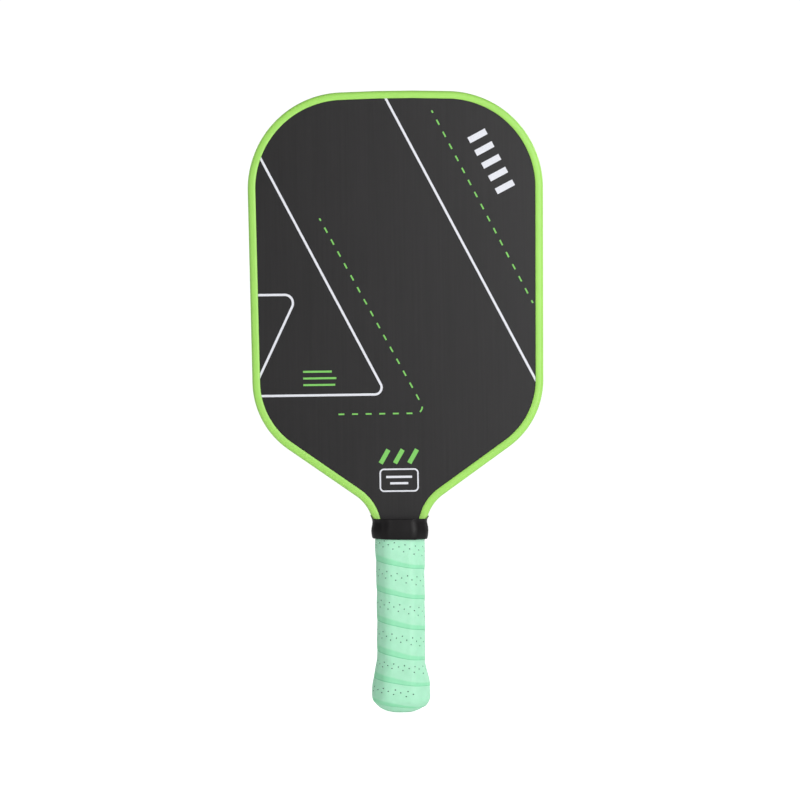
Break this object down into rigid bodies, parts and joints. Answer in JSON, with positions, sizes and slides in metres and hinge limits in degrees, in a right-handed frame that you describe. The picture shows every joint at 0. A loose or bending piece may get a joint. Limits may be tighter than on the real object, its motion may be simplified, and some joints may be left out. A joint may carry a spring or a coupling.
{
  "type": "pickleball paddle",
  "caption": "Long-handled court paddle with a honeycomb core, carbon faces, channel edge guard, wound perforated grip, flared butt and a rubber collar that slides on the handle.",
  "frame": {"origin": "middle of the butt end, on the plane that the butt's flat disc lies in", "axes": "+Z runs along the handle to the top of the head, +Y is the way the back hitting face looks, so the front face looks along -Y, and X runs across the width"},
  "size_m": [0.1964, 0.0354, 0.413],
  "materials": {
    "polypropylene": "translucent moulded core, never seen",
    "eva_foam": "closed-cell foam",
    "scrim": "non-woven veil",
    "carbon_face": "matt raw carbon laminate with a fine peel-ply texture",
    "lime_tpu": "satin lime green TPU",
    "bonding_tape": "double-sided tape",
    "pallet_plastic": "moulded polyurethane",
    "cap_plastic": "moulded, fine grain",
    "staple_steel": "bright wire",
    "mint_grip": "perforated synthetic leather, matt and slightly tacky",
    "finishing_tape": "vinyl tape",
    "collar_rubber": "smooth elastic rubber, low gloss"
  },
  "bodies": {
    "paddle": {"honeycomb_core": "polypropylene", "perimeter_foam": "eva_foam", "front_scrim": "scrim", "back_scrim": "scrim", "front_face_sheet": "carbon_face", "back_face_sheet": "carbon_face", "edge_guard": "lime_tpu", "edge_guard_tape": "bonding_tape", "front_handle_pallet": "pallet_plastic", "back_handle_pallet": "pallet_plastic", "front_pallet_tape": "bonding_tape", "back_pallet_tape": "bonding_tape", "butt_cap": "cap_plastic", "butt_cap_disc": "cap_plastic", "front_cap_staple": "staple_steel", "back_cap_staple": "staple_steel", "grip_wrap": "mint_grip", "finishing_tape": "finishing_tape"},
    "collar": {"collar": "collar_rubber"}
  },
  "joints": [
    {"name": "collar_slide", "type": "slide", "parent": "paddle", "child": "collar", "axis": [0, 0, -1], "range_m": [0, 0.074]}
  ]
}
